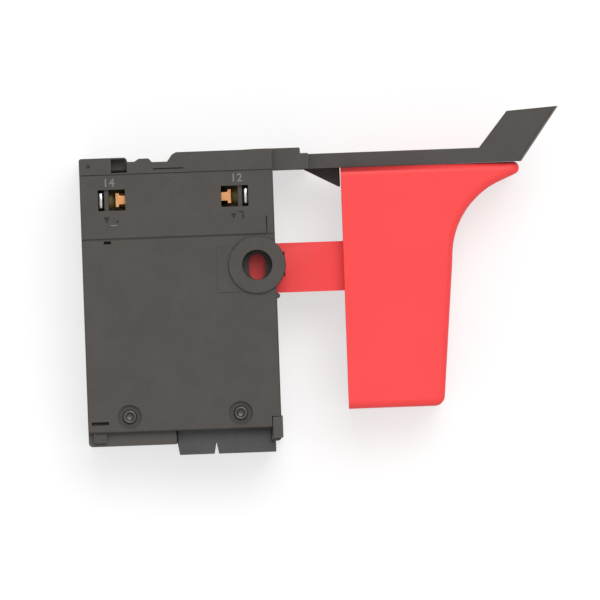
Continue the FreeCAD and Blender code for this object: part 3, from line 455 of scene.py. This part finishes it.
def makeClampSpring(node, name, centreX, inward, up):
    plan = clampSpring

    def place(u, v, z):
        height = plan["stripZ"] + z
        return Vector((centreX + inward * u, plan["windowY"] + v,
                       height if up > 0 else 2 * plan["middle"] - height)) * mm

    # Faces low in the window take the darker steel as painted shade; the leaf's upper part keeps its bright
    # steel
    def cover(face):
        depth = abs(face.calc_center_median().z / mm - plan["middle"]) - (plan["stripZ"] - plan["middle"])
        return 0 if depth > plan["brightOver"] else 1

    bm = bmesh.new()
    base = [(plan["baseHalfLong"], plan["baseTop"] - plan["baseThick"] / 2),
            (-plan["baseHalfLong"], plan["baseTop"] - plan["baseThick"] / 2)]
    bentStrip(bm, base, plan["baseThick"], plan["baseHalfWide"], place, cover)
    low = plan["footTop"] - plan["sheet"] / 2
    line = [(plan["footIn"], low), (plan["leafAt"] + plan["bend"] + plan["footPast"], low)]
    for step in range(5):
        turn = math.radians(90 * step / 4)
        line.append((plan["leafAt"] + plan["bend"] * (1 - math.sin(turn)),
                     low + plan["bend"] * (1 - math.cos(turn))))
    rise = plan["top"] - plan["curl"] - plan["sheet"] / 2
    line += [(plan["leafAt"], plan["leafLow"]), (plan["leafAt"], rise)]
    for step in range(1, 6):
        turn = math.radians(90 * step / 5)
        line.append((plan["leafAt"] - plan["curl"] * (1 - math.cos(turn)),
                     rise + plan["curl"] * math.sin(turn)))
    line.append((plan["leafAt"] - plan["curl"] - plan["hem"], rise + plan["curl"]))
    bentStrip(bm, line, plan["sheet"], plan["leafHalf"], place, cover)
    bmesh.ops.recalc_face_normals(bm, faces=bm.faces)
    mesh = bpy.data.meshes.new(name)
    bm.to_mesh(mesh)
    bm.free()
    mesh.materials.append(finish["spring"])
    mesh.materials.append(finish["shadedSpring"])
    piece = linked(name, mesh)
    bevel = piece.modifiers.new("edges", "BEVEL")
    bevel.width = plan["rounded"] * mm
    bevel.segments = rounding["segments"]
    bevel.limit_method = "ANGLE"
    bevel.angle_limit = math.radians(rounding["sharpOver"])
    bakedCopy(piece)
    smoothed(piece.data)
    return handedOver(piece, "body", "spring_steel", node)


for side, up in (("upper", 1), ("lower", -1)):
    for end, inward in (("back", 1), ("front", -1)):
        makeClampSpring(side + "_clamp_spring_" + end, side + "ClampSpring" + end.title(),
                        clampSpring[end + "X"], inward, up)
print("clamp springs made")


# Geometry Nodes: rows of turned pieces, and the return coil

def newTree(name, inputs):
    tree = bpy.data.node_groups.new(name, "GeometryNodeTree")
    tree.interface.new_socket("Geometry", in_out="INPUT", socket_type="NodeSocketGeometry")
    tree.interface.new_socket("Geometry", in_out="OUTPUT", socket_type="NodeSocketGeometry")
    for label, value in inputs.items():
        kind = {int: "Int", float: "Float", tuple: "Vector"}.get(type(value), "Material")
        socket = tree.interface.new_socket(label, in_out="INPUT", socket_type="NodeSocket" + kind)
        if value is not None:
            socket.default_value = value
    return tree, tree.nodes.new("NodeGroupInput").outputs, tree.nodes.new("NodeGroupOutput").inputs[0]


def addNode(tree, kind, sockets, **settings):
    node = tree.nodes.new(kind)
    for key, value in settings.items():
        setattr(node, key, value)
    for label, value in sockets.items():
        if isinstance(value, bpy.types.NodeSocket):
            tree.links.new(value, node.inputs[label])
        else:
            node.inputs[label].default_value = value
    return node


def setPlaces(tree, geometry, place):
    return addNode(tree, "GeometryNodeSetPosition", {"Geometry": geometry, "Position": place}).outputs[0]


def closeTree(tree, geometry, material, end):
    real = addNode(tree, "GeometryNodeRealizeInstances", {"Geometry": geometry})
    paint = addNode(tree, "GeometryNodeSetMaterial", {"Geometry": real.outputs[0], "Material": material})
    tree.links.new(paint.outputs[0], end)
    return tree


# The profile (radius in X, height in Z) is the mesh that carries the modifier. Each row of the grid
# takes one of its points and goes round with it
def turnedRowTree():
    still = (0.0, 0.0, 0.0)
    tree, given, end = newTree("turnedRow", {"turns": 32, "count": 1, "start": still, "step": still,
                                             "tilt": still, "merge": 2e-6, "finish": None})
    sizes = addNode(tree, "GeometryNodeAttributeDomainSize", {"Geometry": given["Geometry"]})
    stations = sizes.outputs["Point Count"]
    columns = timesMath(tree, given["turns"], 1.0, "ADD")
    grid = addNode(tree, "GeometryNodeMeshGrid", {"Size X": 1.0, "Size Y": 1.0, "Vertices X": columns,
                                                  "Vertices Y": stations})
    place = tree.nodes.new("GeometryNodeInputPosition").outputs[0]
    spot = addNode(tree, "ShaderNodeSeparateXYZ", {"Vector": place})
    turn = timesMath(tree, timesMath(tree, spot.outputs["X"], 0.5, "ADD"), 2 * math.pi)
    last = timesMath(tree, stations, 1.0, "SUBTRACT")
    row = timesMath(tree, timesMath(tree, timesMath(tree, spot.outputs["Y"], 0.5, "ADD"), last), 0.5, "ADD")
    row = timesMath(tree, row, 0.0, "FLOOR")
    sample = addNode(tree, "GeometryNodeSampleIndex", {}, data_type="FLOAT_VECTOR", domain="POINT")
    tree.links.new(given["Geometry"], sample.inputs["Geometry"])
    tree.links.new(place, sample.inputs["Value"])
    tree.links.new(row, sample.inputs["Index"])
    shape = addNode(tree, "ShaderNodeSeparateXYZ", {"Vector": sample.outputs[0]})
    x = timesMath(tree, shape.outputs["X"], timesMath(tree, turn, 0.0, "COSINE"))
    y = timesMath(tree, shape.outputs["X"], timesMath(tree, turn, 0.0, "SINE"))
    point = addNode(tree, "ShaderNodeCombineXYZ", {"X": x, "Y": y, "Z": shape.outputs["Z"]})
    body = setPlaces(tree, grid.outputs["Mesh"], point.outputs[0])
    whole = addNode(tree, "GeometryNodeMergeByDistance", {"Geometry": body, "Distance": given["merge"]})
    places = addNode(tree, "GeometryNodeMeshLine", {"Count": given["count"], "Start Location": given["start"],
                                                    "Offset": given["step"]}, mode="OFFSET")
    tilt = addNode(tree, "FunctionNodeEulerToRotation", {"Euler": given["tilt"]})
    copies = addNode(tree, "GeometryNodeInstanceOnPoints", {
        "Points": places.outputs[0], "Instance": whole.outputs[0], "Rotation": tilt.outputs[0]})
    return closeTree(tree, copies.outputs[0], given["finish"], end)


# Closed turns lie wire on wire at both ends, and the open ones share the length between them
def coilTree():
    tree, given, end = newTree("returnCoil", {
        "turns": 8.0, "closedTurns": 1.0, "coilRadius": 0.003, "wireRadius": 0.0004, "length": 0.02,
        "closedPitch": 2.02, "start": (0.0, 0.0, 0.0), "stepsPerTurn": 26, "sides": 12, "finish": None})
    steps = timesMath(tree, given["turns"], given["stepsPerTurn"])
    count = timesMath(tree, steps, 1.0, "ADD")
    line = addNode(tree, "GeometryNodeMeshLine", {"Count": count}, mode="OFFSET")
    curve = addNode(tree, "GeometryNodeMeshToCurve", {"Mesh": line.outputs[0]})
    index = tree.nodes.new("GeometryNodeInputIndex").outputs[0]
    done = timesMath(tree, index, given["stepsPerTurn"], "DIVIDE")
    wireWide = timesMath(tree, given["wireRadius"], given["closedPitch"])
    closed = given["closedTurns"]
    bothEnds = timesMath(tree, closed, 2.0)
    openTurns = timesMath(tree, given["turns"], bothEnds, "SUBTRACT")
    openLong = timesMath(tree, given["length"], timesMath(tree, bothEnds, wireWide), "SUBTRACT")
    pitch = timesMath(tree, openLong, openTurns, "DIVIDE")
    first = timesMath(tree, done, closed, "MINIMUM")
    beyond = timesMath(tree, timesMath(tree, done, closed, "SUBTRACT"), 0.0, "MAXIMUM")
    middle = timesMath(tree, beyond, openTurns, "MINIMUM")
    last = timesMath(tree, beyond, middle, "SUBTRACT")
    advance = timesMath(tree, timesMath(tree, timesMath(tree, first, last, "ADD"), wireWide),
                        timesMath(tree, middle, pitch), "ADD")
    turn = timesMath(tree, done, 2 * math.pi)
    y = timesMath(tree, given["coilRadius"], timesMath(tree, turn, 0.0, "COSINE"))
    z = timesMath(tree, given["coilRadius"], timesMath(tree, turn, 0.0, "SINE"))
    point = addNode(tree, "ShaderNodeCombineXYZ", {"X": advance, "Y": y, "Z": z})
    moved = addNode(tree, "ShaderNodeVectorMath", {0: point.outputs[0], 1: given["start"]}, operation="ADD")
    path = setPlaces(tree, curve.outputs[0], moved.outputs[0])
    ring = addNode(tree, "GeometryNodeCurvePrimitiveCircle", {
        "Resolution": given["sides"], "Radius": given["wireRadius"]})
    wire = addNode(tree, "GeometryNodeCurveToMesh", {
        "Curve": path, "Profile Curve": ring.outputs[0], "Fill Caps": True})
    return closeTree(tree, wire.outputs[0], given["finish"], end)


def grown(name, points, tree, sizes):
    mesh = bpy.data.meshes.new(name)
    mesh.from_pydata(points, [(i, i + 1) for i in range(len(points) - 1)], [])
    piece = linked(name, mesh)
    modifier = piece.modifiers.new("grow", "NODES")
    modifier.node_group = tree
    for item in tree.interface.items_tree:
        if item.in_out == "INPUT" and item.name in sizes:
            modifier[item.identifier] = sizes[item.name]
    bakedCopy(piece)
    bm = bmesh.new()
    bm.from_mesh(piece.data)
    bmesh.ops.recalc_face_normals(bm, faces=bm.faces)
    bm.to_mesh(piece.data)
    bm.free()
    smoothed(piece.data)
    return piece


turnedRow = turnedRowTree()


def turned(name, profile, look, start, step=(0, 0, 0), count=1, tilt=(0, 0, 0), turns=32):
    points = [(radius * mm, 0, height * mm) for radius, height in profile]
    return grown(name, points, turnedRow, {
        "turns": turns, "count": count, "start": [v * mm for v in start], "step": [v * mm for v in step],
        "tilt": [float(v) for v in tilt], "finish": finish[look]})


# Low corner, high corner and middle of a node's box, in millimetres
def boxOf(node):
    low, high = (Vector(corner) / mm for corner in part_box(node))
    return low, high, (low + high) / 2


# Rivets: rolled, hollow heads on the cover's side, low domes on the other
rivet = {"head": 1.5, "shank": 1.0, "headHigh": 0.6, "turns": 40,
         "dome": ((0, 0), (0.7, 0.03), (1.2, 0.14), (1.42, 0.3), (1.5, 0.45), (1.5, 0.6)),
         "roll": ((1.5, 0.3), (1.42, 0.14), (1.28, 0.04), (1.12, 0), (0.96, 0.03), (0.82, 0.12),
                  (0.72, 0.3), (0.62, 0.38), (0, 0.4))}
low, high, middle = boxOf("cover_rivets")
long = high.z - low.z
rivetProfile = [*rivet["dome"], (rivet["shank"], rivet["headHigh"]), (rivet["shank"], long - rivet["headHigh"]),
                (rivet["head"], long - rivet["headHigh"]), *((r, long - deep) for r, deep in rivet["roll"])]
rivets = turned("coverRivets", rivetProfile, "rivet", (low.x + rivet["head"], middle.y, low.z),
                (high.x - low.x - 2 * rivet["head"], 0, 0), 2, turns=rivet["turns"])
handedOver(rivets, "body", "rivet_steel", "cover_rivets")
print("rivets turned")

# Return coil with closed ends
coil = {"turns": 8.0, "closedTurns": 1.0, "wireRadius": 0.35, "travel": 10.0}
low, high, middle = boxOf("return_spring")
coilLong = high.x - low.x
spring = grown("returnCoil", [(0, 0, 0), (0, 0, mm)], coilTree(), {
    "turns": coil["turns"], "closedTurns": coil["closedTurns"], "wireRadius": coil["wireRadius"] * mm,
    "coilRadius": ((high.y - low.y) / 2 - coil["wireRadius"]) * mm,
    "length": (coilLong - 2 * coil["wireRadius"]) * mm, "finish": finish["spring"],
    "start": [(low.x + coil["wireRadius"]) * mm, middle.y * mm, middle.z * mm]})
handedOver(spring, "body", "spring_steel", "return_spring")
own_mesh(spring)
print("return coil made")

# Resistors with swollen ends and colour bands, on one wire with three soldered posts
resistor = {"long": 4.7, "waist": 0.84, "wire": 0.22, "past": 0.42, "wireTurns": 14, "postTurns": 18,
            "cap": ((0, 0), (0.3, 0.0), (0.72, 0.06), (0.92, 0.22)), "swollen": (0.5, 0.95), "waistFrom": 1.3,
            "bands": (("band", 1.5), ("black", 2.15), ("band", 2.8), ("copper", 3.5)),
            "bandLong": 0.36, "bandIn": 0.05, "bandOut": 0.02,
            "fillet": ((0, 0), (0.7, 0), (0.62, 0.08), (0.4, 0.26), (0.27, 0.5)), "post": 0.26,
            "postTop": ((0.2, 0.2), (0, 0.26))}
low, high, middle = boxOf("resistors")
radius = (high.x - low.x) / 2
pace = (0, high.y - low.y - resistor["long"], 0)
alongY = (math.radians(-90), 0, 0)
foot = (middle.x, low.y, middle.z)
half = [*resistor["cap"], *((radius, y) for y in resistor["swollen"]),
        (resistor["waist"], resistor["waistFrom"])]
resistorProfile = half + [(r, resistor["long"] - y) for r, y in reversed(half)]
bodies = turned("resistorBodies", resistorProfile, "ceramic", foot, pace, 2, alongY)
handedOver(bodies, "body", "resistor_body", "resistors")
inner = resistor["waist"] - resistor["bandIn"]
outer = resistor["waist"] + resistor["bandOut"]
for number, (look, start) in enumerate(resistor["bands"], 1):
    end = start + resistor["bandLong"]
    bandProfile = [(inner, start), (outer, start), (outer, end), (inner, end), (inner, start)]
    stripe = turned("resistorBand" + str(number), bandProfile, look, foot, pace, 2, alongY)
    handedOver(stripe, "body", "resistor_body")
wireLow = low.y - resistor["past"]
wireLong = high.y + resistor["past"] - wireLow
wireProfile = [(0, 0), (resistor["wire"], 0), (resistor["wire"], wireLong), (0, wireLong)]
wire = turned("resistorWire", wireProfile, "spring", (middle.x, wireLow, middle.z), tilt=alongY,
              turns=resistor["wireTurns"])
handedOver(wire, "body", "spring_steel")
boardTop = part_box("circuit_board")[1][2] / mm
rise = middle.z - boardTop
postProfile = [*resistor["fillet"], (resistor["post"], rise), *((r, rise + z) for r, z in resistor["postTop"])]
posts = turned("resistorPosts", postProfile, "spring", (middle.x, wireLow, boardTop), (0, wireLong / 2, 0), 3,
               turns=resistor["postTurns"])
handedOver(posts, "body", "spring_steel")
print("resistors turned")


# Board's tracks: copper runs, and two carbon bands under the wiper

# A flat strip along a line, mitred where the line turns
def addRun(bm, points, wide, z0, z1):
    points = [Vector(p) for p in points]
    rings = []
    for i, point in enumerate(points):
        before = (point - points[i - 1]).normalized() if i else None
        after = (points[i + 1] - point).normalized() if i + 1 < len(points) else None
        way = ((before or after) + (after or before)).normalized()
        mitre = max(0.5, abs(way.dot(before or after)))
        side = Vector((-way.y, way.x)) * wide / 2 / mitre
        corners = ((-1, z0), (1, z0), (1, z1), (-1, z1))
        rings.append([bm.verts.new(Vector((*(point + s * side), z)) * mm) for s, z in corners])
    for low, high in zip(rings, rings[1:]):
        for i in range(4):
            bm.faces.new((low[i], low[(i + 1) % 4], high[(i + 1) % 4], high[i]))
    bm.faces.new(rings[0])
    bm.faces.new(rings[-1])


def fromMesh(name, bm, look, body, slot):
    bmesh.ops.recalc_face_normals(bm, faces=bm.faces)
    mesh = bpy.data.meshes.new(name)
    bm.to_mesh(mesh)
    bm.free()
    mesh.materials.append(finish[look])
    return handedOver(linked(name, mesh), body, slot)


tracks = {
    "boardTracks": {"look": "copper", "slot": "copper", "wide": 0.9, "high": 0.04, "runs": [
        [(-13.6, -26.2), (-17.2, -26.2), (-17.2, -15.4)],
        [(-13.6, -14.75), (-10.0, -14.75), (-9.6, -8.4)],
        [(-10.0, 2.0), (-20.0, 2.0), (-30.5, -2.0), (-30.5, -13.2)],
        [(-17.6, -7.5), (-17.6, -2.5)],
        [(-9.62, -8.9), (-2.4, -8.9), (-2.4, -2.5)],
        [(-17.3, -5.0), (-26.0, -5.0), (-28.6, -8.0)]]},
    "carbonTracks": {"look": "black", "slot": "black_plastic", "wide": 1.2, "high": 0.06, "runs": [
        [(-17.4, -6.0), (-2.6, -6.0)],
        [(-17.4, -4.0), (-2.6, -4.0)]]}}
sunk = 0.02
for name, plan in tracks.items():
    bm = bmesh.new()
    for run in plan["runs"]:
        addRun(bm, run, plan["wide"], boardTop - sunk, boardTop + plan["high"])
    fromMesh(name, bm, plan["look"], "body", plan["slot"])
print("board tracks laid")


# Numbers and small marks beside the windows

marks = {
    "size": 2.35, "spacing": 1.1, "bolder": 0.05, "smooth": 4, "top": 22.035, "under": 21.95,
    "numbers": (("14", -30.5, 18.2), ("12", -3.7, 18.35)),
    "dash": [(-30.4, 9.3), (-29.05, 9.3)], "dashWide": 0.22,
    "arrows": ([(-31.75, 11.1), (-30.55, 11.1), (-31.15, 9.75)], [(-5.1, 11.0), (-4.0, 11.0), (-4.55, 9.8)]),
    "dot": (-28.9, 10.1), "dotRadius": 0.26, "dotSides": 16,
    "hook": [(-3.45, 11.3), (-2.65, 11.3), (-2.5, 9.7)], "hookWide": 0.32}


def addWords(bm, words, x, y):
    text = bpy.data.curves.new("words", "FONT")
    text.body = words
    text.size = marks["size"] * mm
    text.space_character = marks["spacing"]
    text.align_x = "CENTER"
    text.align_y = "CENTER"
    text.resolution_u = marks["smooth"]
    text.offset = marks["bolder"] * mm
    text.extrude = (marks["top"] - marks["under"]) / 2 * mm
    holder = linked("words", text)
    bpy.context.view_layer.update()
    mesh = bpy.data.meshes.new_from_object(holder.evaluated_get(bpy.context.evaluated_depsgraph_get()))
    mesh.transform(Matrix.Translation(Vector((x, y, (marks["top"] + marks["under"]) / 2)) * mm))
    bm.from_mesh(mesh)
    bpy.data.objects.remove(holder)


def addPlate(bm, outline, z0, z1):
    low = [bm.verts.new(Vector((x, y, z0)) * mm) for x, y in outline]
    high = [bm.verts.new(Vector((x, y, z1)) * mm) for x, y in outline]
    for i in range(len(outline)):
        j = (i + 1) % len(outline)
        bm.faces.new((low[i], low[j], high[j], high[i]))
    bm.faces.new(low)
    bm.faces.new(high)


bm = bmesh.new()
for words, x, y in marks["numbers"]:
    addWords(bm, words, x, y)
bmesh.ops.remove_doubles(bm, verts=bm.verts, dist=rounding["merge"])
addRun(bm, marks["dash"], marks["dashWide"], marks["under"], marks["top"])
fromMesh("windowNumbers", bm, "ink", "body", "body_plastic")
bm = bmesh.new()
for arrow in marks["arrows"]:
    addPlate(bm, arrow, marks["under"], marks["top"])
dotX, dotY = marks["dot"]
turnsRound = [2 * math.pi * i / marks["dotSides"] for i in range(marks["dotSides"])]
dot = [(dotX + marks["dotRadius"] * math.cos(a), dotY + marks["dotRadius"] * math.sin(a)) for a in turnsRound]
addPlate(bm, dot, marks["under"], marks["top"])
addRun(bm, marks["hook"], marks["hookWide"], marks["under"], marks["top"])
fromMesh("windowMarks", bm, "black", "body", "black_plastic")
print("numbers and marks set")


# Floor, light and camera

paper = {"half": 1500.0, "under": -0.03, "shade": 0.46, "glow": 0.60, "roughness": 0.9}


def stageFloor():
    mesh = bpy.data.meshes.new("paperFloor")
    half = paper["half"] * mm
    corners = ((-half, -half), (half, -half), (half, half), (-half, half))
    mesh.from_pydata([(x, y, paper["under"] * mm) for x, y in corners], [], [(0, 1, 2, 3)])
    floor = linked("paperFloor", mesh)
    mat, tree, shader, coord = newShader("paper")
    shader.inputs["Base Color"].default_value = (paper["shade"], paper["shade"], paper["shade"], 1)
    shader.inputs["Roughness"].default_value = paper["roughness"]
    shader.inputs["Specular IOR Level"].default_value = 0.0
    # The glow is there for the camera and for mirrored or bent rays, and lights nothing
    glow = tree.nodes.new("ShaderNodeEmission")
    glow.inputs["Color"].default_value = (1, 1, 1, 1)
    glow.inputs["Strength"].default_value = paper["glow"]
    dark = tree.nodes.new("ShaderNodeEmission")
    dark.inputs["Strength"].default_value = 0.0
    path = tree.nodes.new("ShaderNodeLightPath")
    seen = timesMath(tree, path.outputs["Is Camera Ray"], path.outputs["Is Glossy Ray"], "MAXIMUM")
    seen = timesMath(tree, seen, path.outputs["Is Transmission Ray"], "MAXIMUM")
    pick = tree.nodes.new("ShaderNodeMixShader")
    for socket, source in zip(pick.inputs, (seen, dark.outputs[0], glow.outputs[0])):
        tree.links.new(source, socket)
    both = tree.nodes.new("ShaderNodeAddShader")
    tree.links.new(shader.outputs[0], both.inputs[0])
    tree.links.new(pick.outputs[0], both.inputs[1])
    tree.links.new(both.outputs[0], tree.nodes["Material Output"].inputs[0])
    mesh.materials.append(mat)


def addSun(name, strength, spread, direction):
    lamp = bpy.data.lights.new(name, "SUN")
    lamp.energy = strength
    lamp.angle = math.radians(spread)
    linked(name, lamp).rotation_euler = Vector(direction).to_track_quat("-Z", "Y").to_euler()


light = {"world": 0.69, "key": 1.13, "keySpread": 34.0, "keyDirection": (-0.2, -0.5, -1.0)}
view = {"x": 8.71, "y": -7.69, "topZ": 22.0, "above": 2500.0, "wide": 125.7, "roll": -2.05, "sensor": 36.0,
        "nearest": 10.0}

stageFloor()
addSun("windowLight", light["key"], light["keySpread"], light["keyDirection"])
world = bpy.data.worlds.new("softRoom")
world.use_nodes = True
world.node_tree.nodes["Background"].inputs["Color"].default_value = (1, 1, 1, 1)
world.node_tree.nodes["Background"].inputs["Strength"].default_value = light["world"]
scene = bpy.context.scene
scene.world = world
scene.view_settings.view_transform = "Standard"

lens = bpy.data.cameras.new("photoView")
lens.sensor_width = view["sensor"]
lens.lens = view["sensor"] * view["above"] / view["wide"]
lens.clip_start = view["nearest"] * mm
camera = linked("photoView", lens)
camera.location = (view["x"] * mm, view["y"] * mm, (view["topZ"] + view["above"]) * mm)
camera.rotation_euler = (0, 0, math.radians(view["roll"]))
scene.camera = camera
print("stage, light and camera set")
